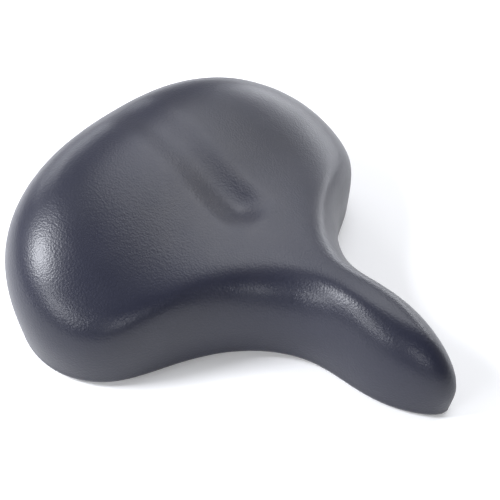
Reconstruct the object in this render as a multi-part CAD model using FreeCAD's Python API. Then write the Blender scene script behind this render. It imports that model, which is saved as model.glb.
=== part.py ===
"""Wide comfort bicycle saddle with a sprung undercarriage and a seat-post clamp.

Units are millimetres. +X points to the nose, +Y to the rider's left, +Z up. The origin is the
centre of the footprint on the surface that the saddle stands on. Shapes are worked out with the
rear edge of the outline at x = 0, and every part is moved back to the origin as it is written.
"""
import FreeCAD, Part
import math
import os
from FreeCAD import Rotation, Vector

os.makedirs("parts", exist_ok=True)

# ---------------------------------------------------------------- form of the seat
LENGTH = 270.0                 # rear edge to nose tip, at the foot of the wall
OUTLINE = [                    # left half of that outline: x from the rear edge, half width
    (0, 0), (4.6, 55), (27.8, 98.7), (85, 121.3), (115.2, 108.3), (135, 75.7), (155.8, 44.7),
    (190.3, 22.2), (248, 16.5), (LENGTH, 0),
]
NOSE_CROWN = 57.4              # height of the crown along the nose
REAR_RISE = 43.5               # how much higher the seat behind it is
RISE_X, RISE_SPREAD = 92.3, 21.3
REAR_DROOP, REAR_DROOP_X = 6.3, 40.0
NOSE_DROOP, NOSE_DROOP_X = 16.4, 200.0
SIDE_DROP, SIDE_DROP_AT = 14.6, 110.0         # fall of the crown that far out from the middle
RELIEF_DEPTH, RELIEF_HALF = 4.5, 19.0         # channel along the middle of the seat
RELIEF_REAR, RELIEF_FRONT, RELIEF_FADE = 26.0, 136.0, 22.0
HEM_ARCH, HEM_ARCH_X, HEM_ARCH_SPREAD = 4.8, 152.0, 45.0
NOSE_LIFT, NOSE_LIFT_X = 0.7, 240.0           # the hem rises a little under the nose tip
BULGE_NOSE, BULGE_SEAT = 2.9, 4.0             # how far the side wall swells out half way up
FOLD, TURN_IN = 4.6, 3.2       # height of the rounded fold at the hem, and how far it turns in
SPINE = (100.6, 237.5)         # the crown line that the walls aim at
MESH_SPINE = (45.0, 247.0)     # the crown line that the control points are drawn up to
SQUARE_NOSE, SQUARE_SEAT = 2.85, 4.6          # superellipse exponents of the section
NARROW, WIDE = 20.0, 95.0      # half widths at which the nose and seat values hold
STATIONS = 48                  # control stations round the half outline
RINGS = [1, .998, .99, .97, .94, .90, .85, .78, .68, .56, .44, .33, .23, .14, .07, 0]
BELOW = -20.0                  # how far down a layer is carried before it is trimmed

# ---------------------------------------------------------------- cover, foam and pan
COVER_T = 1.4                  # vinyl cover
GAP = 0.15                     # between cover, foam and pan
HEM = COVER_T + GAP            # height of the pan's flange over the hem line
PAN_T = 2.6                    # moulded base pan
WALL_NOSE, WALL_SEAT = 5.0, 10.6              # outline to the pan, through cover and foam
FOAM_NOSE, FOAM_SEAT = 14.0, 26.0             # cushion over the pan
FOAM_SEAT_X, FOAM_NOSE_X = 40.0, 190.0
FLANGE_NOSE, FLANGE_SEAT = 3.0, 12.0          # width of the pan's turned-in bottom flange
HEM_SHORT = 1.5                # the cover's hem stops this far short of the flange's edge
WELL_TOP = HEM_ARCH + HEM + PAN_T + 2
RIB_T = 2.0
RIB_YS = (-34.0, -18.0, 18.0, 34.0)
RIB_EDGE = [(22, 50), (32, 58), (70, 53), (100, 43)]  # lower edge of a rib: x, z
BOSS_R, BOSS_Z = 20.6, 52.6    # spring bosses under the pan, and their flat face
PAD_Z, PAD_LEN, PAD_HALF = 33.0, 46.0, 13.0   # flat pad that the nose bracket is screwed to
POCKET_Z = 20.0                # underside of the pocket that clears the nose bracket
VENT_X, VENT_LEN, VENT_HALF = 72.0, 56.0, 9.3 # opening in the pan under the relief channel
VENT_TOP, VENT_CORNER = 95.0, 7.4
STAPLE_STEP = 2                # one staple at every second station round the hem
STAPLE_W, STAPLE_T, STAPLE_LEG = 7.0, 0.6, 3.4
STAPLE_DROP = 0.2              # the staple's back stands this far up in the hem

# ---------------------------------------------------------------- fastenings
M6_R, M6_FLATS, M6_NUT = 3.0, 10.0, 4.5
M6_HEAD_R, M6_HEAD_H = 5.6, 3.3
M8_R, M8_FLATS, M8_NUT, M8_WASHER_R, M8_WASHER_T = 4.0, 13.0, 6.5, 8.0, 1.6
HOLE_EXTRA = 0.2               # radial room round a clamped bolt
TURN_ROOM = 0.08               # radial room where a part turns on its bolt
THREAD_ROOM = 0.03             # radial room between a plain shank and its nut
SEAT_GAP = 0.05                # between faces that are drawn up tight
SCREW_R, SCREW_LEN, SCREW_DX, SCREW_DY = 2.0, 6.0, 14.0, 5.0
SCREW_HEAD_R, SCREW_HEAD_H = 3.6, 2.4
TEE_R, TEE_T, TEE_SINK = 8.0, 1.2, 4.2        # flange of the nuts in the spring bosses

# ---------------------------------------------------------------- rails, pivot and springs
RAIL_R = 3.5
RAIL_BEND = 12.0               # radius of every bend, at the middle of the bar
RAIL_Y, RAIL_Z = 22.0, 24.5    # straight stretch that the clamp grips
RAIL_BACK_X, RAIL_FRONT_X = 94.0, 162.0       # its corners
RAIL_TAIL_Y, RAIL_TAIL_Z = 34.0, 6.6
RAIL_TAIL_X, RAIL_TAIL_BEND_X = 44.0, 76.0
RAIL_NOSE_Y, RAIL_NOSE_BEND_X = 3.6, 197.0
PIVOT_X, PIVOT_Z = 212.0, 22.5 # nose pivot that the undercarriage swings on
PIVOT_R = 2.5
PIVOT_HEAD_R, PIVOT_HEAD_H = 4.6, 2.6
PIVOT_FLATS, PIVOT_NUT, PIVOT_PAST = 8.0, 2.6, 0.3
SLEEVE_R, SLEEVE_HALF = 5.0, 7.3
EAR_IN, EAR_T, EAR_R, EAR_FOOT = 7.55, 1.8, 6.5, 11.0
BRACKET_T, BRACKET_LEN, BRACKET_HALF, BRACKET_R = 2.0, 38.0, EAR_IN + EAR_T, 4.0
BRACKET_ROOM = 0.3
SPRING_X, SPRING_Y = 58.0, 52.0
COIL_R, WIRE_R = 14.8, 2.25
END_TURNS, ACTIVE_TURNS = 0.75, 3.5
COIL_GAP = 0.1                 # between touching coils, and under the end coils
COIL_STEPS = 16                # points on each turn
CUP_T, CUP_R, CUP_RIM, CUP_EDGE_R = 1.4, 18.8, 5.0, 1.3
CUP_GAP = 0.1                  # between the upper cup and the boss
BRIDGE_T, BRIDGE_W = 2.5, 22.0
BRIDGE_LIP_T, BRIDGE_LIP_H, BRIDGE_LIP_HALF = 2.0, 7.0, 27.0
BRIDGE_Z = RAIL_TAIL_Z + RAIL_R + SEAT_GAP
LOW_CUP_Z = BRIDGE_Z + BRIDGE_T + SEAT_GAP
LOW_COIL_Z = LOW_CUP_Z + CUP_T + COIL_GAP
HIGH_CUP_Z = BOSS_Z - CUP_GAP
HIGH_COIL_Z = HIGH_CUP_Z - CUP_T - COIL_GAP
BOLT_TIP_Z = 4.0               # lower end of the bottom spring bolts

# ---------------------------------------------------------------- seat-post clamp
CLAMP_X, CLAMP_Z = 129.5, 15.0 # clamp stud
POST_R = 11.1                  # for a 22.2 mm seat post
COLLAR_X = CLAMP_X - 26.0
COLLAR_T, COLLAR_HALF = 2.8, 12.0
LUG_IN, LUG_T, LUG_R = 4.0, 3.4, 10.0
LUG_ROOT, LUG_NECK, LUG_PAST = 2.0, 14.0, 1.0 # where each lug starts, narrows and ends
DISC_R, DISC_OUT = 9.5, 9.8
TEETH, TOOTH_H, TOOTH_W = 24, 0.8, 0.7
TOOTH_IN, TOOTH_SHORT = 5.2, 0.4              # where a tooth starts, and how short of the rim it ends
TOOTH_SINK = 0.02
JAW_FACE, JAW_ARM_IN, JAW_OUT = 10.9, 14.3, 28.0
JAW_HALF, JAW_TOP, JAW_R, JAW_CORNER = 14.0, 30.2, 10.4, 2.5
JAW_SHOULDER, JAW_WAIST = 4.8, (9.6, -4.0)    # the plate's lower corners, from the stud
JAW_SPLIT = 0.4                # daylight between the two halves of a jaw
GROOVE_R = RAIL_R + 0.15
STUD_PAST, STUD_CHAMFER = 2.0, 0.8

X, Y, Z = Vector(1, 0, 0), Vector(0, 1, 0), Vector(0, 0, 1)
FAR = 200.0                    # longer than any part, for cutters and drills


# ---------------------------------------------------------------- small solids
def cylinder(r, length, base, axis=Z):
    return Part.makeCylinder(r, length, base, axis)


def drill(r, through, axis=Z):
    """A long cutter whose axis runs through a point."""
    return cylinder(r, FAR, through - axis * (FAR / 2), axis)


def block(x0, x1, y0, y1, z0, z1):
    return Part.makeBox(x1 - x0, y1 - y0, z1 - z0, Vector(x0, y0, z0))


def plate(points, thickness):
    """Flat plate on a polygon in an XZ plane, thickened towards +Y."""
    return Part.Face(Part.makePolygon(points + points[:1])).extrude(Y * thickness)


def hexagon(flats, length, base, axis=Z):
    """Hexagonal bar whose far corners are rounded off by a cone."""
    r = flats / math.sqrt(3)
    turn = Rotation(Z, axis)
    corners = [Vector(r * math.cos(k * math.pi / 3), r * math.sin(k * math.pi / 3), 0) for k in range(7)]
    face = Part.Face(Part.makePolygon([base + turn.multVec(c) for c in corners]))
    rounding = Part.makeCone(1.35 * r, 0.9 * r, length, base, axis)
    return face.extrude(axis * length).common(rounding)


def nut(flats, length, hole_r, base, axis=Z):
    return hexagon(flats, length, base, axis).cut(drill(hole_r, base, axis))


def round_head(r, height, base, axis=Z):
    """Low domed screw head with a hexagon socket, standing on its seat at base."""
    dome_r = 1.35 * r
    dome = Part.makeSphere(dome_r, base - axis * (dome_r - height), axis)
    head = dome.common(cylinder(r, height, base, axis))
    return head.cut(hexagon(0.95 * r, height, base + axis * (0.45 * height), axis))


def left_right(shape):
    return {"left": shape, "right": shape.mirror(Vector(0, 0, 0), Y)}


def both_sides(shape):
    return Part.Compound(list(left_right(shape).values()))


# ---------------------------------------------------------------- the saddle's form
def smooth(value, low, high):
    t = min(1.0, max(0.0, (value - low) / (high - low)))
    return t * t * (3 - 2 * t)


def half_outline():
    """Stations round the left half of the outline, rear to nose, each with its inward normal."""
    right = [(x, -y) for x, y in OUTLINE[-2:0:-1]]
    curve = Part.BSplineCurve()
    curve.interpolate([Vector(x, y, 0) for x, y in OUTLINE + right], PeriodicFlag=True)
    loop = curve.toShape().discretize(Number=2 * STATIONS + 1)[:-1]
    stations = []
    for i in range(STATIONS + 1):
        along = loop[(i + 1) % len(loop)] - loop[i - 1]
        stations.append((loop[i], Vector(along.y, -along.x, 0).normalize()))
    return stations


HALF = half_outline()


def spine_x(i):
    f = i / STATIONS
    return SPINE[0] + (SPINE[1] - SPINE[0]) * (0.1 * f + 0.9 * f ** 2.2)


def mesh_spine_x(i):
    f = max(0.0, HALF[i][0].x / LENGTH)
    return MESH_SPINE[0] + (MESH_SPINE[1] - MESH_SPINE[0]) * f ** 1.25


def mix(i, nose, seat):
    """A size at station i, between its value on the narrow nose and on the wide seat."""
    p = HALF[i][0]
    return nose + (seat - nose) * smooth(math.hypot(p.x - spine_x(i), p.y), NARROW, WIDE)


def crown(x, y):
    z = NOSE_CROWN + REAR_RISE / (1 + math.exp((x - RISE_X) / RISE_SPREAD))
    z -= NOSE_DROOP * max(0.0, (x - NOSE_DROOP_X) / (LENGTH - NOSE_DROOP_X)) ** 2
    z -= REAR_DROOP * max(0.0, (REAR_DROOP_X - x) / REAR_DROOP_X) ** 2
    return z - SIDE_DROP * (y / SIDE_DROP_AT) ** 2


def relief(x, y):
    along = smooth(x, RELIEF_REAR - 16, RELIEF_REAR + 16)
    along *= 1 - smooth(x, RELIEF_FRONT - RELIEF_FADE, RELIEF_FRONT)
    return RELIEF_DEPTH * along * (1 - smooth(abs(y), RELIEF_HALF * 0.25, RELIEF_HALF))


def hem_z(x):
    arch = HEM_ARCH * math.exp(-((x - HEM_ARCH_X) / HEM_ARCH_SPREAD) ** 2)
    return arch + NOSE_LIFT * max(0.0, (x - NOSE_LIFT_X) / (LENGTH - NOSE_LIFT_X)) ** 2


def foam_depth(x):
    return FOAM_NOSE + (FOAM_SEAT - FOAM_NOSE) * (1 - smooth(x, FOAM_SEAT_X, FOAM_NOSE_X))


class Section:
    """Plan of one layer: its feet, the spine they aim at, and the form of each section."""

    def __init__(self, inset_nose, inset_seat):
        self.feet = [p + inward * mix(i, inset_nose, inset_seat) for i, (p, inward) in enumerate(HALF)]
        self.spine = [Vector(spine_x(i), 0, 0) for i in range(STATIONS + 1)]
        self.power = [mix(i, SQUARE_NOSE, SQUARE_SEAT) for i in range(STATIONS + 1)]
        self.bulge = [mix(i, BULGE_NOSE, BULGE_SEAT) for i in range(STATIONS + 1)]

    def between(self, values, k):
        j = min(int(k), STATIONS - 1)
        return values[j] * (1 - k + j) + values[j + 1] * (k - j)

    def locate(self, q):
        """The station whose section runs through q, and how far out along it q lies."""
        q = Vector(q.x, max(q.y, 0.01), 0)
        low, high = 0.0, float(STATIONS)
        for _ in range(36):
            k = (low + high) / 2
            foot, spine = self.between(self.feet, k), self.between(self.spine, k)
            if (foot - spine).cross(q - spine).z > 0:
                high = k
            else:
                low = k
        return k, min(1.0, (q - spine).Length / (foot - spine).Length)

    def lift(self, q, top):
        """The point on the layer above q, pushed out by the bulge of the wall."""
        k, r = self.locate(q)
        foot, spine = self.between(self.feet, k), self.between(self.spine, k)
        power = self.between(self.power, k)
        share = (1 - r ** power) ** (1 / power)
        base = hem_z(foot.x) + FOLD
        z = base + (top(q.x, q.y) - base) * share
        out = (foot - spine).normalize()
        return q + out * (self.between(self.bulge, k) * math.sin(math.pi * share) * r) + Z * z


def layer(inset_nose, inset_seat, turn_in, rise, top):
    """Closed solid under one smooth layer of the saddle, carried down well below the hem.

    Below the fold the wall turns in, and it is upright again at the given rise over the hem.
    """
    section = Section(inset_nose, inset_seat)
    grid = []
    for i, foot in enumerate(section.feet):
        low = foot + HALF[i][1] * turn_in
        turned = hem_z(foot.x) + rise
        row = [Vector(low.x, low.y, z) for z in (BELOW, turned - 3, turned)]
        for r in RINGS:
            spine = section.spine[i] + X * ((mesh_spine_x(i) - spine_x(i)) * smooth(1 - r, 0.05, 0.75))
            row.append(section.lift(spine + (foot - spine) * r, top))
        row[-1] = Vector(spine.x, 0, top(spine.x, 0))
        row[-2].z = top(row[-2].x, 0)
        grid.append(row)
    for edge, beside in ((grid[0], grid[1]), (grid[-1], grid[-2])):
        for a, b in list(zip(edge, beside))[:-1]:
            a.y, b.x, b.z = 0.0, a.x, a.z
    nu, nv = len(grid), len(grid[0])
    surface = Part.BSplineSurface()
    surface.buildFromPolesMultsKnots(
        grid, [4] + [1] * (nu - 4) + [4], [4] + [1] * (nv - 4) + [4],
        [float(k) for k in range(nu - 2)], [float(k) for k in range(nv - 2)], False, False, 3, 3)
    sides = list(left_right(surface.toShape()).values())
    rim = [e for side in sides for e in side.Edges if abs(e.BoundBox.ZMax - BELOW) < 1e-4]
    floor = Part.Face(Part.Wire(Part.__sortEdges__(rim)))
    shell = Part.Shell(Part.Compound(sides + [floor]).Faces)
    shell.sewShape()
    solid = Part.Solid(shell)
    if solid.Volume < 0:
        solid.reverse()
    return solid


def under_hem(rise):
    """Everything lower than the arched hem line, lifted by rise."""
    xs = [-20.0 + 12.5 * k for k in range(26)]
    curve = Part.BSplineCurve()
    curve.interpolate([Vector(x, -FAR, hem_z(x) + rise) for x in xs])
    ends = [Vector(xs[-1], -FAR, BELOW * 2), Vector(xs[0], -FAR, BELOW * 2)]
    sides = Part.makePolygon([curve.EndPoint] + ends + [curve.StartPoint])
    face = Part.Face(Part.Wire([curve.toShape()] + sides.Edges))
    return face.extrude(Y * (2 * FAR))


def cover_top(x, y):
    return crown(x, y) - relief(x, y)


def pan_top(x, y):
    return crown(x, y) - COVER_T - foam_depth(x)


OUTSIDE = layer(0, 0, TURN_IN, 0, cover_top)
COVER_INSIDE = layer(COVER_T, COVER_T, TURN_IN - COVER_T, COVER_T, lambda x, y: cover_top(x, y) - COVER_T)
FOAM_OUTSIDE = layer(HEM, HEM, TURN_IN - HEM, HEM, lambda x, y: cover_top(x, y) - HEM)
FOAM_INSIDE = layer(WALL_NOSE - GAP, WALL_SEAT - GAP, 0, 0, lambda x, y: pan_top(x, y) + GAP)
PAN_OUTSIDE = layer(WALL_NOSE, WALL_SEAT, 0, 0, pan_top)
PAN_MIDDLE = layer(WALL_NOSE + PAN_T / 2, WALL_SEAT + PAN_T / 2, 0, 0, lambda x, y: pan_top(x, y) - PAN_T / 2)
PAN_INSIDE = layer(WALL_NOSE + PAN_T, WALL_SEAT + PAN_T, 0, 0, lambda x, y: pan_top(x, y) - PAN_T)
OVER_SPRING = Part.makeLine(Vector(SPRING_X, SPRING_Y, BOSS_Z), Vector(SPRING_X, SPRING_Y, FAR))
TEE_Z = PAN_OUTSIDE.common(OVER_SPRING).BoundBox.ZMax - TEE_SINK


# ---------------------------------------------------------------- seat
def inner_well(short):
    """Upright prism inside the ring of the flange, short of its edge by the given distance."""
    rim = []
    for i in range(STATIONS + 1):
        p, inward = HALF[i]
        inset = mix(i, WALL_NOSE + FLANGE_NOSE, WALL_SEAT + FLANGE_SEAT) - short
        rim.append(p + inward * inset + Z * BELOW)
    rim[0].y = rim[-1].y = 0.0
    back = [Vector(p.x, -p.y, p.z) for p in rim[-2:0:-1]]
    curve = Part.BSplineCurve()
    curve.interpolate(rim + back, PeriodicFlag=True)
    return Part.Face(Part.Wire(curve.toShape())).extrude(Z * (WELL_TOP - BELOW))


def staple_places():
    """Centre and inward normal of every staple, both sides."""
    places = []
    for i in range(1, STATIONS - 1, STAPLE_STEP):
        p, inward = HALF[i]
        inset = mix(i, WALL_NOSE + 0.5 * FLANGE_NOSE, WALL_SEAT + 0.5 * FLANGE_SEAT)
        centre = p + inward * inset
        centre.z = hem_z(centre.x)
        places.append((centre, inward))
        places.append((Vector(centre.x, -centre.y, centre.z), Vector(inward.x, -inward.y, 0)))
    return places


def staple(centre, inward, room):
    """One wire staple driven up through the hem, grown by room on every side."""
    half, wire, leg = STAPLE_W / 2 + room, STAPLE_T / 2 + room, STAPLE_T + 2 * room
    bar = block(-half, half, -wire, wire, STAPLE_DROP - 4 * room, STAPLE_DROP + STAPLE_T + room)
    top = STAPLE_DROP + STAPLE_LEG + room
    legs = [block(-half, leg - half, -wire, wire, STAPLE_DROP, top),
            block(half - leg, half, -wire, wire, STAPLE_DROP, top)]
    shape = bar.fuse(legs).removeSplitter()
    shape.Placement = FreeCAD.Placement(centre, Rotation(Y, inward))
    return shape


def staples(room=0.0):
    return Part.Compound([staple(centre, inward, room) for centre, inward in staple_places()])


def cover_skin():
    hollow = COVER_INSIDE.cut(under_hem(COVER_T))
    shape = OUTSIDE.cut([under_hem(0), hollow, inner_well(HEM_SHORT)])
    return shape.cut(staples(0.05))


def foam_cushion():
    return FOAM_OUTSIDE.cut([FOAM_INSIDE, under_hem(HEM)])


def spring_axis(side, z):
    return Vector(SPRING_X, side * SPRING_Y, z)


def pan_ribs():
    """Upright ribs along the roof of the pan."""
    edge = [Vector(x, 0, z) for x, z in RIB_EDGE]
    roof = [Vector(edge[-1].x, 0, FAR), Vector(edge[0].x, 0, FAR)]
    rib = plate(edge + roof, RIB_T)
    return [PAN_MIDDLE.common(rib.translated(Y * (y - RIB_T / 2))) for y in RIB_YS]


def screw_places():
    corners = [(-SCREW_DX, -SCREW_DY), (-SCREW_DX, SCREW_DY), (SCREW_DX, -SCREW_DY), (SCREW_DX, SCREW_DY)]
    return [Vector(PIVOT_X + dx, dy, PAD_Z) for dx, dy in corners]


def base_pan():
    """Moulded pan: wall and roof, turned-in flange, ribs, spring bosses, bracket pad and vent."""
    hollow = PAN_INSIDE.cut(under_hem(HEM + PAN_T))
    shape = PAN_OUTSIDE.cut([hollow, under_hem(HEM), inner_well(0)])
    bosses = [PAN_MIDDLE.common(cylinder(BOSS_R, FAR, spring_axis(side, BOSS_Z))) for side in (-1, 1)]
    pad = block(PIVOT_X - PAD_LEN / 2, PIVOT_X + PAD_LEN / 2, -PAD_HALF, PAD_HALF, PAD_Z, FAR)
    shape = shape.fuse(pan_ribs() + bosses + [PAN_MIDDLE.common(pad)])
    vent = block(VENT_X - VENT_LEN / 2, VENT_X + VENT_LEN / 2, -VENT_HALF, VENT_HALF, POCKET_Z, VENT_TOP)
    corners = [e for e in vent.Edges if e.BoundBox.ZLength > VENT_TOP / 2]
    vent = vent.makeFillet(VENT_CORNER, corners)
    reach, half = BRACKET_LEN / 2 + BRACKET_ROOM, BRACKET_HALF + BRACKET_ROOM
    pocket = block(PIVOT_X - reach, PIVOT_X + reach, -half, half, POCKET_Z, PAD_Z)
    cuts = [vent, pocket]
    for side in (-1, 1):
        cuts.append(drill(M6_R + 1.2, spring_axis(side, BOSS_Z)))
        cuts.append(cylinder(TEE_R + 0.3, FAR, spring_axis(side, TEE_Z)))
    cuts += [cylinder(SCREW_R, SCREW_LEN, p - Z) for p in screw_places()]
    return shape.cut(cuts)


def tee_nuts():
    """Flanged nuts dropped into the spring bosses from above."""
    nuts = []
    for side in (-1, 1):
        barrel_z = BOSS_Z + 0.4
        flange = cylinder(TEE_R, TEE_T, spring_axis(side, TEE_Z + SEAT_GAP))
        barrel = cylinder(M6_R + 1.1, TEE_Z - barrel_z + 1, spring_axis(side, barrel_z))
        nuts.append(flange.fuse(barrel).cut(drill(M6_R + THREAD_ROOM, spring_axis(side, TEE_Z))))
    return Part.Compound(nuts)


def spring_cup(z, opening):
    """Pressed cup with its flat back at z and its rim turned towards the spring."""
    base = spring_axis(1, z)
    cup = cylinder(CUP_R, CUP_T + CUP_RIM, base, opening)
    back = [e for e in cup.Edges if e.Length > CUP_R * 6 and abs(e.BoundBox.ZMax - z) < 0.01]
    cup = cup.makeFillet(CUP_EDGE_R, back)
    cup = cup.cut(cylinder(CUP_R - CUP_T, CUP_RIM + 1, base + opening * CUP_T, opening))
    return cup.cut(drill(M6_R + HOLE_EXTRA, base))


def spring_top_bolts():
    """Screws up through the upper cups into the tee nuts."""
    seat_z = HIGH_CUP_Z - CUP_T
    bolts = []
    for side in (-1, 1):
        seat = spring_axis(side, seat_z)
        shank = cylinder(M6_R, TEE_Z + TEE_T - seat_z, seat)
        bolts.append(shank.fuse(round_head(M6_HEAD_R, M6_HEAD_H, seat, Z * -1)))
    return Part.Compound(bolts)


def nose_bracket():
    """Pressed channel: a plate under the pan's pad and an ear each side of the pivot."""
    top, reach, half = PAD_Z - SEAT_GAP, BRACKET_LEN / 2, BRACKET_HALF
    base = block(PIVOT_X - reach, PIVOT_X + reach, -half, half, top - BRACKET_T, top)
    base = base.makeFillet(BRACKET_R, [e for e in base.Edges if e.BoundBox.ZLength > BRACKET_T / 2])
    ears = []
    for y in (EAR_IN, -EAR_IN - EAR_T):
        root = top - BRACKET_T / 2
        web = [(-EAR_FOOT, root), (EAR_FOOT, root), (EAR_R, PIVOT_Z), (-EAR_R, PIVOT_Z)]
        ears.append(plate([Vector(PIVOT_X + x, y, z) for x, z in web], EAR_T))
        ears.append(cylinder(EAR_R, EAR_T, Vector(PIVOT_X, y, PIVOT_Z), Y))
    shape = base.fuse(ears).removeSplitter()
    holes = [drill(PIVOT_R + 0.1, Vector(PIVOT_X, 0, PIVOT_Z), Y)]
    holes += [drill(SCREW_R + HOLE_EXTRA, p) for p in screw_places()]
    return shape.cut(holes)


def nose_bracket_screws():
    screws = []
    for p in screw_places():
        seat = p - Z * (SEAT_GAP + BRACKET_T)
        head = round_head(SCREW_HEAD_R, SCREW_HEAD_H, seat, Z * -1)
        screws.append(cylinder(SCREW_R - SEAT_GAP, SCREW_LEN, seat).fuse(head))
    return Part.Compound(screws)


def pivot_bolt():
    seat = BRACKET_HALF
    length = 2 * seat + PIVOT_NUT + PIVOT_PAST
    shank = cylinder(PIVOT_R, length, Vector(PIVOT_X, seat - length, PIVOT_Z), Y)
    return shank.fuse(round_head(PIVOT_HEAD_R, PIVOT_HEAD_H, Vector(PIVOT_X, seat, PIVOT_Z), Y))


def pivot_nut():
    seat = Vector(PIVOT_X, -BRACKET_HALF, PIVOT_Z)
    return nut(PIVOT_FLATS, PIVOT_NUT, PIVOT_R + THREAD_ROOM, seat, Y * -1)


# ---------------------------------------------------------------- rails and springs
def rounded_path(points, radius):
    """Straight runs joined by arcs of the given radius."""
    edges, start = [], points[0]
    for a, b, c in zip(points, points[1:], points[2:]):
        back, ahead = (a - b).normalize(), (c - b).normalize()
        half = back.getAngle(ahead) / 2
        reach = radius / math.tan(half)
        crest = b + (back + ahead).normalize() * (radius / math.sin(half) - radius)
        edges.append(Part.makeLine(start, b + back * reach))
        edges.append(Part.Arc(b + back * reach, crest, b + ahead * reach).toShape())
        start = b + ahead * reach
    edges.append(Part.makeLine(start, points[-1]))
    return Part.Wire(edges)


def rail():
    """Left rail: tail under the bridge, straight gripping stretch, nose end at the pivot."""
    tail = Vector(RAIL_TAIL_X, RAIL_TAIL_Y, RAIL_TAIL_Z)
    path = rounded_path([
        tail,
        Vector(RAIL_TAIL_BEND_X, RAIL_TAIL_Y, RAIL_TAIL_Z),
        Vector(RAIL_BACK_X, RAIL_Y, RAIL_Z),
        Vector(RAIL_FRONT_X, RAIL_Y, RAIL_Z),
        Vector(RAIL_NOSE_BEND_X, RAIL_NOSE_Y, PIVOT_Z),
        Vector(PIVOT_X, RAIL_NOSE_Y, PIVOT_Z)], RAIL_BEND)
    ring = Part.Wire(Part.makeCircle(RAIL_R, tail, X))
    shape = path.makePipeShell([ring], True, True)
    return shape.cut(drill(SLEEVE_R + SEAT_GAP, Vector(PIVOT_X, 0, PIVOT_Z), Y))


def pivot_sleeve():
    start = Vector(PIVOT_X, -SLEEVE_HALF, PIVOT_Z)
    return cylinder(SLEEVE_R, 2 * SLEEVE_HALF, start, Y).cut(drill(PIVOT_R + TURN_ROOM, start, Y))


def rear_bridge():
    """Flat steel strip on the rail tails, round-ended under each spring, with folded edges."""
    back, front, top = SPRING_X - BRIDGE_W / 2, SPRING_X + BRIDGE_W / 2, BRIDGE_Z + BRIDGE_T
    strip = block(back, front, -SPRING_Y, SPRING_Y, BRIDGE_Z, top)
    pads = [cylinder(CUP_R, BRIDGE_T, spring_axis(side, BRIDGE_Z)) for side in (-1, 1)]
    lips = [block(x, x + BRIDGE_LIP_T, -BRIDGE_LIP_HALF, BRIDGE_LIP_HALF, BRIDGE_Z, BRIDGE_Z + BRIDGE_LIP_H)
            for x in (back, front - BRIDGE_LIP_T)]
    shape = strip.fuse(pads + lips).removeSplitter()
    return shape.cut([drill(M6_R + HOLE_EXTRA, spring_axis(side, BRIDGE_Z)) for side in (-1, 1)])


def spring():
    """Compression spring with a closed coil at each end and open coils between."""
    turns = 2 * END_TURNS + ACTIVE_TURNS
    closed = 2 * WIRE_R + COIL_GAP
    steps = int(turns * COIL_STEPS)
    shares = []
    for k in range(steps):
        t = turns * (k + 0.5) / steps
        ends = smooth(t, END_TURNS * 0.6, END_TURNS * 1.6)
        shares.append(ends * smooth(turns - t, END_TURNS * 0.6, END_TURNS * 1.6))
    spare = HIGH_COIL_Z - LOW_COIL_Z - 2 * WIRE_R - closed * turns
    z, points = LOW_COIL_Z + WIRE_R, []
    for k, share in enumerate(shares + [0]):
        a = 2 * math.pi * turns * k / steps
        points.append(spring_axis(1, z) + X * (COIL_R * math.cos(a)) + Y * (COIL_R * math.sin(a)))
        z += closed * turns / steps + spare * share / sum(shares)
    curve = Part.BSplineCurve()
    curve.interpolate(points)
    ring = Part.Wire(Part.makeCircle(WIRE_R, points[0], curve.tangent(curve.FirstParameter)[0]))
    return Part.Wire(curve.toShape()).makePipeShell([ring], True, True)


def spring_bottom_bolts():
    bolts = []
    for side in (-1, 1):
        seat = spring_axis(side, LOW_CUP_Z + CUP_T)
        shank = cylinder(M6_R, seat.z - BOLT_TIP_Z, seat, Z * -1)
        bolts.append(shank.fuse(round_head(M6_HEAD_R, M6_HEAD_H, seat)))
    return Part.Compound(bolts)


def spring_bottom_nuts():
    return both_sides(nut(M6_FLATS, M6_NUT, M6_R + THREAD_ROOM, spring_axis(1, BRIDGE_Z), Z * -1))


# ---------------------------------------------------------------- seat-post clamp
def teeth(y, direction):
    """Ring of radial teeth standing on the plane at y."""
    start = [Vector(TOOTH_IN, 0, -TOOTH_W / 2), Vector(TOOTH_IN, 0, TOOTH_W / 2),
             Vector(TOOTH_IN, direction * TOOTH_H, 0)]
    face = Part.Face(Part.makePolygon(start + start[:1]))
    ridges = []
    for k in range(TEETH):
        ridge = face.extrude(X * (DISC_R - TOOTH_IN - TOOTH_SHORT))
        ridge.rotate(Vector(0, 0, 0), Y, 360.0 * k / TEETH)
        ridge.translate(Vector(CLAMP_X, y, CLAMP_Z))
        ridges.append(ridge)
    return ridges


def stud_hole(r):
    return drill(r, Vector(CLAMP_X, 0, CLAMP_Z), Y)


def jaw(y0, y1):
    """One plate of a jaw: the bar along the rail, run down into a round boss at the stud."""
    waist_x, waist_z = JAW_WAIST
    top = JAW_TOP - CLAMP_Z
    corners = [(-JAW_HALF, top), (JAW_HALF, top), (JAW_HALF, JAW_SHOULDER), (waist_x, waist_z),
               (-waist_x, waist_z), (-JAW_HALF, JAW_SHOULDER)]
    bar = plate([Vector(CLAMP_X + x, y0, CLAMP_Z + z) for x, z in corners], y1 - y0)
    boss = cylinder(JAW_R, y1 - y0, Vector(CLAMP_X, y0, CLAMP_Z), Y)
    shape = bar.fuse(boss).removeSplitter()
    across = [e for e in shape.Edges if abs(e.BoundBox.YLength - (y1 - y0)) < 0.01]
    shape = shape.makeFillet(JAW_CORNER, [e for e in across if e.BoundBox.ZMin > CLAMP_Z + top / 2])
    groove = drill(GROOVE_R, Vector(CLAMP_X, RAIL_Y, RAIL_Z), X)
    return shape.cut([groove, stud_hole(M8_R + HOLE_EXTRA)])


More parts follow.
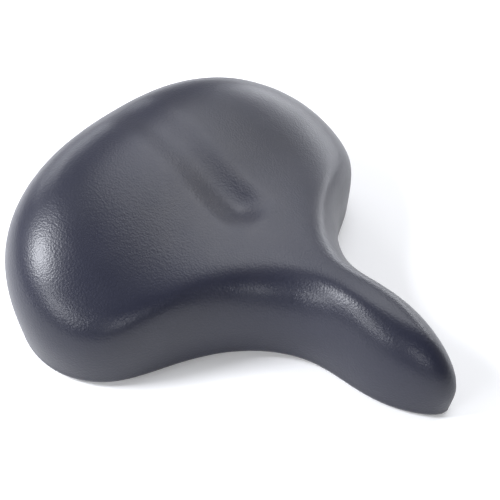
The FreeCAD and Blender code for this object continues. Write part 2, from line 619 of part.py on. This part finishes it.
def clamp_inner_plate():
    """Half jaw inside the rail, with a toothed boss that meets the serrated disc."""
    face = JAW_FACE + TOOTH_H
    boss = cylinder(DISC_R, JAW_ARM_IN - face, Vector(CLAMP_X, face, CLAMP_Z), Y)
    shape = jaw(JAW_ARM_IN, RAIL_Y - JAW_SPLIT / 2).fuse([boss] + teeth(face + TOOTH_SINK, -1))
    return shape.cut(stud_hole(M8_R + HOLE_EXTRA))


def clamp_outer_plate():
    return jaw(RAIL_Y + JAW_SPLIT / 2, JAW_OUT)


def clamp_stud():
    reach = JAW_OUT + M8_WASHER_T + M8_NUT + STUD_PAST
    stud = cylinder(M8_R, 2 * reach, Vector(CLAMP_X, -reach, CLAMP_Z), Y)
    return stud.makeChamfer(STUD_CHAMFER, [e for e in stud.Edges if e.BoundBox.YLength < 0.01])


def clamp_nut():
    return nut(M8_FLATS, M8_NUT, M8_R + THREAD_ROOM, Vector(CLAMP_X, JAW_OUT + M8_WASHER_T, CLAMP_Z), Y)


def clamp_washers():
    washer = cylinder(M8_WASHER_R, M8_WASHER_T, Vector(CLAMP_X, JAW_OUT, CLAMP_Z), Y)
    return both_sides(washer.cut(stud_hole(M8_R + HOLE_EXTRA)))


def collar_strap():
    """Band round the seat post, with two lugs reaching forward to the stud."""
    base = Vector(COLLAR_X, 0, CLAMP_Z - COLLAR_HALF)
    upper = [(COLLAR_X + LUG_ROOT, COLLAR_HALF), (COLLAR_X + LUG_NECK, COLLAR_HALF),
             (CLAMP_X + LUG_PAST, LUG_R)]
    corners = upper + [(x, -z) for x, z in upper[::-1]]
    lugs = []
    for y in (LUG_IN, -LUG_IN - LUG_T):
        lugs.append(plate([Vector(x, y, CLAMP_Z + z) for x, z in corners], LUG_T))
        lugs.append(cylinder(LUG_R, LUG_T, Vector(CLAMP_X, y, CLAMP_Z), Y))
    shape = cylinder(POST_R + COLLAR_T, 2 * COLLAR_HALF, base).fuse(lugs)
    slit = block(COLLAR_X, COLLAR_X + FAR, -LUG_IN, LUG_IN, -FAR, FAR)
    return shape.cut([drill(POST_R, base), slit, stud_hole(M8_R + TURN_ROOM)]).removeSplitter()


def serrated_disc():
    start = LUG_IN + LUG_T
    disc = cylinder(DISC_R, DISC_OUT - start, Vector(CLAMP_X, start, CLAMP_Z), Y)
    return disc.fuse(teeth(DISC_OUT - TOOTH_SINK, 1)).cut(stud_hole(M8_R + TURN_ROOM))


# ---------------------------------------------------------------- write every sub-part
def pair(name, shape):
    return {name + "_" + side: solid for side, solid in left_right(shape).items()}


parts = {
    "cover_skin": cover_skin(), "foam_cushion": foam_cushion(), "base_pan": base_pan(),
    "hem_staples": staples(), "tee_nuts": tee_nuts(), "spring_top_bolts": spring_top_bolts(),
    "nose_bracket": nose_bracket(), "nose_bracket_screws": nose_bracket_screws(),
    "pivot_bolt": pivot_bolt(), "pivot_nut": pivot_nut(), "pivot_sleeve": pivot_sleeve(),
    "rear_bridge": rear_bridge(), "spring_bottom_bolts": spring_bottom_bolts(),
    "spring_bottom_nuts": spring_bottom_nuts(), "clamp_stud": clamp_stud(),
    "clamp_washers": clamp_washers(), "collar_strap": collar_strap(),
}
parts.update(pair("rail", rail()))
parts.update(pair("spring", spring()))
parts.update(pair("spring_cup_top", spring_cup(HIGH_CUP_Z, Z * -1)))
parts.update(pair("spring_cup_bottom", spring_cup(LOW_CUP_Z, Z)))
parts.update(pair("clamp_inner_plate", clamp_inner_plate()))
parts.update(pair("clamp_outer_plate", clamp_outer_plate()))
parts.update(pair("clamp_nut", clamp_nut()))
parts.update(pair("serrated_disc", serrated_disc()))

box = parts["cover_skin"].BoundBox
centre = Vector(-(box.XMin + box.XMax) / 2, 0, 0)
for name, shape in parts.items():
    shape.translate(centre)
    shape.exportStep("parts/" + name + ".step")
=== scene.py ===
"""The looks of the sprung bicycle saddle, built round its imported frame. Shapes are in mm until placed."""
import math
import bmesh
import bpy
import numpy as np
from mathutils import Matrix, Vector


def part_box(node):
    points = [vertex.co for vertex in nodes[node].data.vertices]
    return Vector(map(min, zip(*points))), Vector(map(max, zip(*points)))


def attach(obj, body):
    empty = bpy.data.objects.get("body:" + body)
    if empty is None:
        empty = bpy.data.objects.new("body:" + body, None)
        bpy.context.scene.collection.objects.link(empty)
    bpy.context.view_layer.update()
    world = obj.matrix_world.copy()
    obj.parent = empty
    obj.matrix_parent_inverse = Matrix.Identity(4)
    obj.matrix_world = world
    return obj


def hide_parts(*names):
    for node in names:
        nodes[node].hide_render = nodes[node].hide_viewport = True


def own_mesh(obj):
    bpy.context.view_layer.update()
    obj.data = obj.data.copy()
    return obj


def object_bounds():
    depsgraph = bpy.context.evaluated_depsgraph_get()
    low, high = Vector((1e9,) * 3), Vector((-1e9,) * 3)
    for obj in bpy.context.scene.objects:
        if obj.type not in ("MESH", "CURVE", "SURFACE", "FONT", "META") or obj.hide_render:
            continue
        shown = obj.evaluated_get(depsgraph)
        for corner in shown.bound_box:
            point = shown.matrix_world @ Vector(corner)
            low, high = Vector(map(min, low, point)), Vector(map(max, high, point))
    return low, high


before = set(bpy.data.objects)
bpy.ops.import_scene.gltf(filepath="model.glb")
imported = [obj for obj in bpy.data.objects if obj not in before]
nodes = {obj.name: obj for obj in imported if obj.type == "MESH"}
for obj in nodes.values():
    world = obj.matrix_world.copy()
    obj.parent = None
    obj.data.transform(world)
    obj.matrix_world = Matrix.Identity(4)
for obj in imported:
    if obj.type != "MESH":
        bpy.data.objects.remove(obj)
cad_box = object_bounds()

# ---------------------------------------------------------------- the saddle's form, in mm from the rear edge
LENGTH = 270.8
OUTLINE = [(0, 0), (4.6, 55), (27.8, 98.7), (85, 121.3), (115.2, 108.3), (135, 75.7), (155.8, 44.7),
           (190.3, 22.2), (248, 16.5), (LENGTH, 0)]
NOSE_CROWN, REAR_RISE, RISE_X, RISE_SPREAD = 58.5, 42.4, 92.3, 21.3
REAR_DROOP, NOSE_DROOP, SIDE_DROP = 6.3, 16.4, 14.6
REAR_DROOP_X, NOSE_DROOP_X, NOSE_DROOP_RUN, SIDE_REACH = 40.0, 200.0, 70.0, 110.0
RELIEF_DEPTH, RELIEF_HALF, RELIEF_REAR, RELIEF_FRONT = 4.5, 19.0, 26.0, 136.0
REAR_EASE, FRONT_EASE, EDGE_EASE = 16.0, 22.0, 2.0    # how gently the channel starts, ends and meets the seat
DEEPER_FROM, DEEPER_TO = 70.0, 122.0                  # the channel goes from half to full depth here
BULGE_NOSE, BULGE_SEAT = 2.9, 4.0
SPINE = (100.6, 237.5)
SQUARE_NOSE, SQUARE_SEAT = 2.85, 4.6
WALL_NOSE, WALL_SEAT = 5.0, 10.6           # outline to the pan
HEM_NOSE, HEM_SEAT = 7.5, 21.1             # outline to the cut edge of the turned-in hem
STAPLE_NOSE, STAPLE_SEAT = 7.0, 16.6       # outline to the row of staples
FOLD, TURN_IN = 4.6, 3.2                   # height and depth of the rounded fold at the very bottom
COVER_T = 1.4
FOAM_NOSE, FOAM_SEAT = 14.0, 26.0
HEM_ARCH, ARCH_X, ARCH_SPREAD = 4.8, 152.0, 45.0
NOSE_LIFT, NOSE_LIFT_X = 0.7, 240.0        # the hem rises again towards the tip
SHOULDER = 0.93                            # share of the height where the wall's rows end and the top's begin
HALF = 120                                 # stations round each half of the outline
PIVOT_X = 212.0

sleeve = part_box("pivot_sleeve")
SHIFT = (sleeve[0].x + sleeve[1].x) * 500 - PIVOT_X   # from the rear edge to the frame's origin


def smooth(value, low, high):
    t = np.clip((value - low) / (high - low), 0, 1)
    return t * t * (3 - 2 * t)


def closed_spline(points, count):
    """Evenly spaced points on the closed cubic spline through the outline and its mirror image."""
    p = np.array(points + [(x, -y) for x, y in points[-2:0:-1]], float)
    n = len(p)
    q = np.vstack([p, p[:1]])
    h = np.linalg.norm(np.diff(q, axis=0), axis=1)
    slope = np.diff(q, axis=0) / h[:, None]
    a, b = np.zeros((n, n)), np.zeros((n, 2))
    for i in range(n):
        a[i, i - 1] += h[i - 1]
        a[i, i] += 2 * (h[i - 1] + h[i])
        a[i, (i + 1) % n] += h[i]
        b[i] = 6 * (slope[i] - slope[i - 1])
    m = np.linalg.solve(a, b)
    m = np.vstack([m, m[:1]])
    runs = []
    for i in range(n):
        k = h[i]
        u = np.linspace(0, k, 300, endpoint=False)[:, None]
        runs.append((m[i] * (k - u) ** 3 + m[i + 1] * u ** 3) / (6 * k)
                    + (q[i] / k - m[i] * k / 6) * (k - u) + (q[i + 1] / k - m[i + 1] * k / 6) * u)
    dense = np.vstack(runs + [q[:1]])
    along = np.r_[0, np.cumsum(np.linalg.norm(np.diff(dense, axis=0), axis=1))]
    at = np.linspace(0, along[-1], count, endpoint=False)
    return np.c_[np.interp(at, along, dense[:, 0]), np.interp(at, along, dense[:, 1])]


RIM = closed_spline(OUTLINE, 2 * HALF)
ahead = np.roll(RIM, -1, 0) - np.roll(RIM, 1, 0)
INWARD = np.c_[ahead[:, 1], -ahead[:, 0]] / np.linalg.norm(ahead, axis=1)[:, None]
place = np.arange(2 * HALF)
share = np.minimum(place, 2 * HALF - place) / HALF
SPINE_X = SPINE[0] + (SPINE[1] - SPINE[0]) * (0.1 * share + 0.9 * share ** 2.2)
WIDTH = smooth(np.hypot(RIM[:, 0] - SPINE_X, RIM[:, 1]), 20.0, 95.0)


def mix(nose, seat):
    return nose + (seat - nose) * WIDTH


def crown(x, y):
    z = NOSE_CROWN + REAR_RISE / (1 + np.exp((x - RISE_X) / RISE_SPREAD))
    z = z - NOSE_DROOP * np.maximum(0, (x - NOSE_DROOP_X) / NOSE_DROOP_RUN) ** 2
    z = z - REAR_DROOP * np.maximum(0, (REAR_DROOP_X - x) / REAR_DROOP_X) ** 2
    return z - SIDE_DROP * (y / SIDE_REACH) ** 2


def relief(x, y):
    start = smooth(x, RELIEF_REAR - REAR_EASE, RELIEF_REAR + REAR_EASE)
    along = start * (1 - smooth(x, RELIEF_FRONT - FRONT_EASE, RELIEF_FRONT))
    deeper = 0.5 + 0.5 * smooth(x, DEEPER_FROM, DEEPER_TO)
    return RELIEF_DEPTH * along * deeper * (1 - smooth(np.abs(y), 0, RELIEF_HALF + EDGE_EASE))


def seat_top(x, y):
    return crown(x, y) - relief(x, y)


def foam_bottom(x, y):
    return crown(x, y) - COVER_T - (FOAM_NOSE + (FOAM_SEAT - FOAM_NOSE) * (1 - smooth(x, 40.0, 190.0))) + 0.6


def hem_z(x):
    arch = HEM_ARCH * np.exp(-((x - ARCH_X) / ARCH_SPREAD) ** 2)
    return arch + NOSE_LIFT * np.maximum(0, (x - NOSE_LIFT_X) / 30) ** 2


def flat_row(inset, lift):
    """One row round the hem, inset from the outline and lifted off the hem line."""
    q = RIM + INWARD * np.broadcast_to(inset, len(RIM))[:, None]
    return np.c_[q, hem_z(q[:, 0]) + lift]


def wall_rows(inset, top, lift, wall_steps, top_steps):
    """Rows from the bottom of the wall up over the shoulder to the spine."""
    foot = RIM + INWARD * np.broadcast_to(inset, len(RIM))[:, None]
    spine = np.c_[SPINE_X, 0 * SPINE_X]
    span = foot - spine
    out = span / np.linalg.norm(span, axis=1)[:, None]
    power, bulge = mix(SQUARE_NOSE, SQUARE_SEAT), mix(BULGE_NOSE, BULGE_SEAT)
    base = hem_z(foot[:, 0]) + lift
    shoulder = (1 - SHOULDER ** power) ** (1 / power)
    reach = [(1 - f ** power) ** (1 / power) for f in np.linspace(0, SHOULDER, wall_steps, endpoint=False)]
    reach += [shoulder * (1 - t) for t in np.linspace(0, 1, top_steps)]
    rows = []
    for r in reach:
        f = (1 - r ** power) ** (1 / power)
        q = spine + span * r[:, None]
        z = base + (top(q[:, 0], q[:, 1]) - base) * f
        q = q + out * (bulge * np.sin(np.pi * f) * r)[:, None]
        rows.append(np.c_[q, z])
    return rows


# ---------------------------------------------------------------- mesh helpers
def mesh_object(name, points, faces, slots=None):
    mesh = bpy.data.meshes.new(name)
    mesh.from_pydata([tuple(p) for p in points], [], faces)
    if slots is not None:
        mesh.polygons.foreach_set("material_index", slots)
    bm = bmesh.new()
    bm.from_mesh(mesh)
    bmesh.ops.remove_doubles(bm, verts=bm.verts, dist=2e-6)
    bmesh.ops.recalc_face_normals(bm, faces=bm.faces)
    bm.to_mesh(mesh)
    bm.free()
    mesh.polygons.foreach_set("use_smooth", [True] * len(mesh.polygons))
    mesh.update()
    found = bpy.data.objects.new(name, mesh)
    bpy.context.scene.collection.objects.link(found)
    return found


def to_metres(points):
    moved = np.array(points, float)
    moved[..., 0] += SHIFT
    return moved / 1000


def rings_mesh(name, rows, slots=None, ends=False):
    """Closed rings joined row to row, in mm from the rear edge."""
    n = len(rows[0])
    faces, kinds = [], []
    for r in range(len(rows) - 1):
        for i in range(n):
            j = (i + 1) % n
            faces.append((r * n + i, r * n + j, (r + 1) * n + j, (r + 1) * n + i))
            kinds.append(0 if slots is None else slots[r])
    if ends:
        faces += [tuple(range(n))[::-1], tuple((len(rows) - 1) * n + i for i in range(n))]
        kinds += [0, 0]
    return mesh_object(name, to_metres(np.vstack(rows)), faces, kinds)


def tube(name, path, radius, sides=20):
    """A round bar along a path, with domed ends, carried without twist."""
    path = np.array(path, float)
    tangent = np.gradient(path, axis=0)
    tangent /= np.linalg.norm(tangent, axis=1)[:, None]
    side = np.cross(tangent[0], (0, 0, 1.0))
    side /= np.linalg.norm(side)
    rows = []
    for p, t in zip(path, tangent):
        side = side - t * side.dot(t)
        side /= np.linalg.norm(side)
        up = np.cross(t, side)
        a = np.linspace(0, 2 * math.pi, sides, endpoint=False)[:, None]
        rows.append(p + radius * (np.cos(a) * side + np.sin(a) * up))
    first = path[0] + (rows[0] - path[0]) * 0.82 - tangent[0] * radius * 0.12
    last = path[-1] + (rows[-1] - path[-1]) * 0.82 + tangent[-1] * radius * 0.12
    return rings_mesh(name, [first] + rows + [last], ends=True)


# ---------------------------------------------------------------- node materials
class Finish:
    """A procedural material: a Principled shader with object coordinates to drive its textures."""

    def __init__(self, name, metallic=0.0, **flat):
        self.material = bpy.data.materials.new(name)
        self.material.use_nodes = True
        self.tree = self.material.node_tree
        self.shader = self.tree.nodes["Principled BSDF"]
        self.shader.inputs["Metallic"].default_value = metallic
        for socket, value in flat.items():
            self.shader.inputs[socket.replace("_", " ")].default_value = value
        self.place = self.node("ShaderNodeTexCoord").outputs["Object"]

    def node(self, kind, **settings):
        made = self.tree.nodes.new(kind)
        for key, value in settings.items():
            if hasattr(made, key):
                setattr(made, key, value)
            else:
                made.inputs[key.replace("_", " ")].default_value = value
        return made

    def link(self, a, b):
        self.tree.links.new(a, b)
        return b

    def noise(self, scale, detail=2.0, roughness=0.5, stretch=None):
        made = self.node("ShaderNodeTexNoise", Scale=scale, Detail=detail, Roughness=roughness)
        source = self.place
        if stretch:
            mapping = self.node("ShaderNodeMapping", Scale=stretch)
            self.link(source, mapping.inputs["Vector"])
            source = mapping.outputs["Vector"]
        self.link(source, made.inputs["Vector"])
        return made.outputs["Fac"]

    def ramp(self, value, *stops):
        made = self.node("ShaderNodeValToRGB")
        points = made.color_ramp.elements
        while len(points) < len(stops):
            points.new(0.5)
        for point, (at, colour) in zip(points, stops):
            point.position = at
            point.color = tuple(colour) + (1.0,) if hasattr(colour, "__len__") else (colour,) * 3 + (1.0,)
        self.link(value, made.inputs["Fac"])
        return made.outputs["Color"]

    def math(self, operation, a, b):
        made = self.node("ShaderNodeMath", operation=operation)
        for socket, value in zip(made.inputs, (a, b)):
            if isinstance(value, float):
                socket.default_value = value
            else:
                self.link(value, socket)
        return made.outputs[0]

    def blend(self, factor, a, b):
        made = self.node("ShaderNodeMix", data_type="RGBA")
        for name, value in (("Factor", factor), ("A", a), ("B", b)):
            socket = [s for s in made.inputs if s.name == name and s.enabled][0]
            if isinstance(value, (tuple, float)):
                socket.default_value = value if isinstance(value, float) else value + (1.0,)
            else:
                self.link(value, socket)
        return [s for s in made.outputs if s.enabled][0]

    def colour(self, value):
        self.link(value, self.shader.inputs["Base Color"])

    def roughness(self, value):
        self.link(value, self.shader.inputs["Roughness"])

    def bump(self, height, distance, strength=1.0, under=None):
        made = self.node("ShaderNodeBump", Distance=distance, Strength=strength)
        self.link(height, made.inputs["Height"])
        if under is not None:
            self.link(under, made.inputs["Normal"])
        self.link(made.outputs["Normal"], self.shader.inputs["Normal"])
        return made.outputs["Normal"]


def vinyl():
    f = Finish("vinyl_cover")
    cell = f.node("ShaderNodeTexVoronoi", feature="SMOOTH_F1", Scale=820.0, Smoothness=0.45)
    warp = f.node("ShaderNodeTexNoise", Scale=420.0, Detail=1.0)
    f.link(f.place, warp.inputs["Vector"])
    shift = f.node("ShaderNodeVectorMath", operation="MULTIPLY_ADD")
    shift.inputs[1].default_value = (0.0012, 0.0012, 0.0012)
    f.link(warp.outputs["Color"], shift.inputs[0])
    f.link(f.place, shift.inputs[2])
    f.link(shift.outputs[0], cell.inputs["Vector"])
    grain = cell.outputs["Distance"]
    fine = f.noise(2600.0, 2.0)
    tone = f.ramp(f.noise(14.0, 3.0), (0.35, (0.0125, 0.0140, 0.028)), (0.65, (0.0160, 0.0175, 0.034)))
    pit = f.ramp(grain, (0.05, (1.0, 1.0, 1.0)), (0.55, (0.86, 0.87, 0.88)))
    skin = f.node("ShaderNodeMix", data_type="RGBA", blend_type="MULTIPLY")
    sockets = {s.name: s for s in skin.inputs if s.enabled}
    sockets["Factor"].default_value = 1.0
    f.link(tone, sockets["A"])
    f.link(pit, sockets["B"])
    skin = [s for s in skin.outputs if s.enabled][0]
    reach = f.node("ShaderNodeVectorMath", operation="DISTANCE")
    reach.inputs[1].default_value = ((104 + SHIFT) / 1000, 0.0, 0.078)
    f.link(f.place, reach.inputs[0])
    worn = f.math("MULTIPLY", f.ramp(reach.outputs["Value"], (0.02, 0.5), (0.085, 0.0)),
                  f.ramp(f.noise(38.0, 5.0, 0.65), (0.35, 0.1), (0.7, 1.0)))
    specks = f.ramp(f.noise(950.0, 1.0), (0.69, 0.0), (0.74, 0.5))
    dust = f.math("ADD", f.math("MULTIPLY", worn, 0.16), f.math("MULTIPLY", worn, specks))
    f.colour(f.blend(dust, skin, (0.17, 0.145, 0.12)))
    rough = f.math("MULTIPLY_ADD", f.noise(60.0, 4.0), 0.10)
    rough.node.inputs[2].default_value = 0.31
    f.roughness(rough)
    low = f.bump(fine, 0.00002, 0.35)
    f.bump(grain, 0.00022, 0.42, under=low)
    f.shader.inputs["Specular IOR Level"].default_value = 0.5
    return f.material


def foam():
    f = Finish("cushion_foam")
    f.colour(f.ramp(f.noise(300.0, 4.0), (0.3, (0.42, 0.36, 0.24)), (0.7, (0.56, 0.5, 0.36))))
    f.roughness(f.ramp(f.noise(900.0), (0.0, 0.85), (1.0, 0.98)))
    f.bump(f.noise(1500.0, 4.0), 0.0004, 0.8)
    return f.material


def moulded_plastic():
    f = Finish("black_plastic")
    f.colour(f.ramp(f.noise(25.0, 4.0), (0.3, (0.014, 0.014, 0.015)), (0.75, (0.022, 0.022, 0.024))))
    f.roughness(f.ramp(f.noise(90.0, 5.0), (0.2, 0.38), (0.8, 0.56)))
    f.bump(f.noise(1900.0, 3.0), 0.00006, 0.6)
    return f.material


def enamel(name, colour, gloss):
    """Black enamel over steel, a little thin and dull where it has rubbed."""
    f = Finish(name, Coat_Weight=0.35, Coat_Roughness=0.12)
    worn = f.ramp(f.noise(140.0, 6.0, 0.7), (0.66, 0.0), (0.74, 1.0))
    f.colour(f.blend(worn, colour, (0.06, 0.058, 0.055)))
    f.roughness(f.ramp(f.noise(70.0, 4.0), (0.2, gloss), (0.8, gloss + 0.16)))
    f.bump(f.noise(700.0, 3.0), 0.00005, 0.35)
    return f.material


def plated(name, colour, rough, stretch, thread=False):
    f = Finish(name, metallic=1.0)
    stain = f.noise(110.0, 5.0, 0.6)
    f.colour(f.ramp(stain, (0.3, colour), (0.75, tuple(c * 0.72 for c in colour))))
    f.roughness(f.ramp(f.noise(60.0, 5.0), (0.2, rough), (0.8, rough + 0.2)))
    normal = f.bump(f.noise(900.0, 3.0, stretch=stretch), 0.00004, 0.5)
    if thread:
        wave = f.node("ShaderNodeTexWave", bands_direction="Y", wave_profile="TRI", Scale=250.0)
        f.link(f.place, wave.inputs["Vector"])
        f.bump(wave.outputs["Fac"], 0.0004, 0.9, under=normal)
    return f.material


def floor_material():
    f = Finish("white_sweep")
    f.colour(f.ramp(f.noise(2.0), (0.3, (0.86, 0.86, 0.865)), (0.7, (0.88, 0.88, 0.885))))
    f.roughness(f.ramp(f.noise(4.0), (0.0, 0.85), (1.0, 0.95)))
    f.shader.inputs["Emission Color"].default_value = (1.0, 1.0, 1.0, 1.0)
    f.shader.inputs["Emission Strength"].default_value = 0.18
    return f.material


VINYL, FOAM, PLASTIC = vinyl(), foam(), moulded_plastic()
BLACK_STEEL = enamel("black_steel", (0.012, 0.012, 0.013), 0.26)
SPRING_STEEL = enamel("spring_steel", (0.014, 0.014, 0.015), 0.18)
CLAMP_STEEL = plated("clamp_steel", (0.42, 0.42, 0.43), 0.34, (1, 1, 0.2))
ZINC = plated("zinc_steel", (0.58, 0.58, 0.57), 0.24, (1, 1, 1))
THREADED = plated("threaded_zinc", (0.55, 0.55, 0.54), 0.28, (1, 1, 1), thread=True)
STAPLE = plated("staple_steel", (0.6, 0.6, 0.6), 0.3, (0.3, 0.3, 1))
LOOKS = {"base_pan": PLASTIC, "clamp_stud": THREADED, "hem_staples": STAPLE}


def paint(item, *materials):
    item.data.materials.clear()
    for material in materials:
        item.data.materials.append(material)


for name, node in nodes.items():
    if name in LOOKS:
        paint(node, LOOKS[name])
    elif name.startswith(("clamp_inner", "clamp_outer", "collar", "serrated")):
        paint(node, CLAMP_STEEL)
    elif any(word in name for word in ("bolt", "nut", "screw", "washer")):
        paint(node, ZINC)
    elif name in ("spring_left", "spring_right"):
        paint(node, SPRING_STEEL)
    else:
        paint(node, BLACK_STEEL)


# ---------------------------------------------------------------- padded seat: cover over foam
def build_cushion():
    """The cover with its fold, hem and staple groove, then the hollow under the foam, as one closed mesh."""
    outer = wall_rows(0.0, seat_top, FOLD, 26, 44)[::-1]
    turns = np.linspace(0, math.pi / 2, 7)[1:]
    fold = [flat_row(TURN_IN * (1 - math.cos(a)), FOLD * (1 - math.sin(a))) for a in turns]
    staple, edge = mix(STAPLE_NOSE, STAPLE_SEAT), mix(HEM_NOSE, HEM_SEAT)
    under = []
    for t in (0.25, 0.5, 0.75):
        under.append(flat_row(TURN_IN + (staple - 1.5 - TURN_IN) * t, 0.0))
    under += [flat_row(staple - 0.6, 0.35), flat_row(staple + 0.35, 0.35)]
    under += [flat_row(edge - 0.35, 0.0), flat_row(edge, 0.3), flat_row(edge, COVER_T - 0.1)]
    skin = outer + fold + under
    wall = mix(WALL_NOSE, WALL_SEAT) - 0.7
    inner = [flat_row(wall, COVER_T + 0.05)] + wall_rows(wall, foam_bottom, 4.5, 14, 18)
    slots = [0] * (len(skin) - 1) + [1] * len(inner)
    seat = rings_mesh("cushion", skin + inner, slots)
    paint(seat, VINYL, FOAM)
    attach(seat, "seat")
    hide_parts("cover_skin", "foam_cushion")


build_cushion()

# ---------------------------------------------------------------- springs
SPRING_X, SPRING_Y, COIL_R, WIRE_R = 58.0, 52.0, 14.8, 2.25
END_TURNS, ACTIVE_TURNS = 0.75, 3.5
COIL_GAP = 0.1                             # between touching coils


def coil(name, side):
    """Closed coil at each end and open coils between, standing from the lower cup to the upper one."""
    low_z, high_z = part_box(name)[0].z * 1000 + WIRE_R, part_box(name)[1].z * 1000 - WIRE_R
    turns = 2 * END_TURNS + ACTIVE_TURNS
    t = np.linspace(0, turns, 260)
    middle = (t[1:] + t[:-1]) / 2
    parts = [smooth(v, END_TURNS * 0.6, END_TURNS * 1.6) for v in (middle, turns - middle)]
    open_part = parts[0] * parts[1]
    closed = 2 * WIRE_R + COIL_GAP
    rise = closed * np.diff(t) + (high_z - low_z - closed * turns) * open_part / open_part.sum()
    z = low_z + np.r_[0, np.cumsum(rise)]
    a = 2 * math.pi * t
    path = np.c_[SPRING_X + COIL_R * np.cos(a), side * (SPRING_Y + COIL_R * np.sin(a)), z]
    made = tube("coil_" + name, path, WIRE_R)
    paint(made, SPRING_STEEL)
    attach(made, "seat")
    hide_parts(name)
    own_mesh(made)


for name, side in (("spring_left", 1), ("spring_right", -1)):
    coil(name, side)

# ---------------------------------------------------------------- studio: floor, lights and camera
floor = mesh_object("floor", [(-6, -6, 0), (6, -6, 0), (6, 6, 0), (-6, 6, 0)], [(0, 1, 2, 3)])
floor.location.z = cad_box[0].z - 0.0003
paint(floor, floor_material())

COOL = (0.93, 0.95, 1.0)


def softbox(name, azimuth, elevation, distance, width, height, power):
    """Area light aimed at the saddle from a compass direction (azimuth from +X towards +Y)."""
    a, e = math.radians(azimuth), math.radians(elevation)
    data = bpy.data.lights.new(name, "AREA")
    data.shape, data.size, data.size_y, data.energy, data.color = "RECTANGLE", width, height, power, COOL
    lamp = bpy.data.objects.new(name, data)
    lamp.location = Vector((math.cos(a) * math.cos(e), math.sin(a) * math.cos(e), math.sin(e))) * distance
    aim = Vector((0, 0, 0.04)) - lamp.location
    lamp.rotation_euler = aim.to_track_quat("-Z", "Y").to_euler()
    bpy.context.scene.collection.objects.link(lamp)


softbox("key", -131, 41, 1.3, 0.42, 0.42, 19.0)
softbox("ridge", -95, 27, 1.5, 0.60, 0.26, 6.5)
softbox("nose", -46, 26, 1.6, 0.14, 0.12, 2.6)
softbox("top", 95, 62, 1.5, 1.3, 1.0, 13.0)
softbox("back", 98, 12, 1.8, 1.6, 0.40, 13.0)
softbox("rear", 165, 20, 1.8, 1.0, 0.5, 6.0)


def studio_world():
    """A pale room, darker on the side that the camera looks from."""
    world = bpy.data.worlds.new("studio")
    world.use_nodes = True
    tree = world.node_tree
    place = tree.nodes.new("ShaderNodeTexCoord")
    facing = tree.nodes.new("ShaderNodeVectorMath")
    facing.operation = "DOT_PRODUCT"
    facing.inputs[1].default_value = (0.66, -0.75, 0.0)
    fade = tree.nodes.new("ShaderNodeMapRange")
    fade.interpolation_type = "SMOOTHSTEP"
    for socket, value in zip(("From Min", "From Max", "To Min", "To Max"), (-0.1, 0.8, 0.4, 0.1)):
        fade.inputs[socket].default_value = value
    background = tree.nodes["Background"]
    background.inputs["Color"].default_value = (1.0, 1.0, 1.0, 1.0)
    tree.links.new(place.outputs["Generated"], facing.inputs[0])
    tree.links.new(facing.outputs["Value"], fade.inputs["Value"])
    tree.links.new(fade.outputs["Result"], background.inputs["Strength"])
    bpy.context.scene.world = world


studio_world()
bpy.context.scene.view_settings.view_transform = "Standard"

AZIMUTH, ELEVATION, DISTANCE, ROLL = math.radians(41.26), math.radians(41.93), 0.7062, math.radians(-0.28)
TARGET = Vector(((135.0 + SHIFT) / 1000, 0.0, 0.035))
level = math.cos(ELEVATION)
away = Vector((math.sin(AZIMUTH) * level, -math.cos(AZIMUTH) * level, math.sin(ELEVATION)))
camera_data = bpy.data.cameras.new("camera")
camera_data.lens, camera_data.sensor_width = 86.5, 36.0
camera_data.shift_x, camera_data.shift_y = -0.0229, 0.0200
camera = bpy.data.objects.new("camera", camera_data)
camera.location = TARGET + away * DISTANCE
camera.rotation_euler = (-away).to_track_quat("-Z", "Y").to_euler()
camera.rotation_euler.rotate_axis("Z", ROLL)
bpy.context.scene.collection.objects.link(camera)
bpy.context.scene.camera = camera
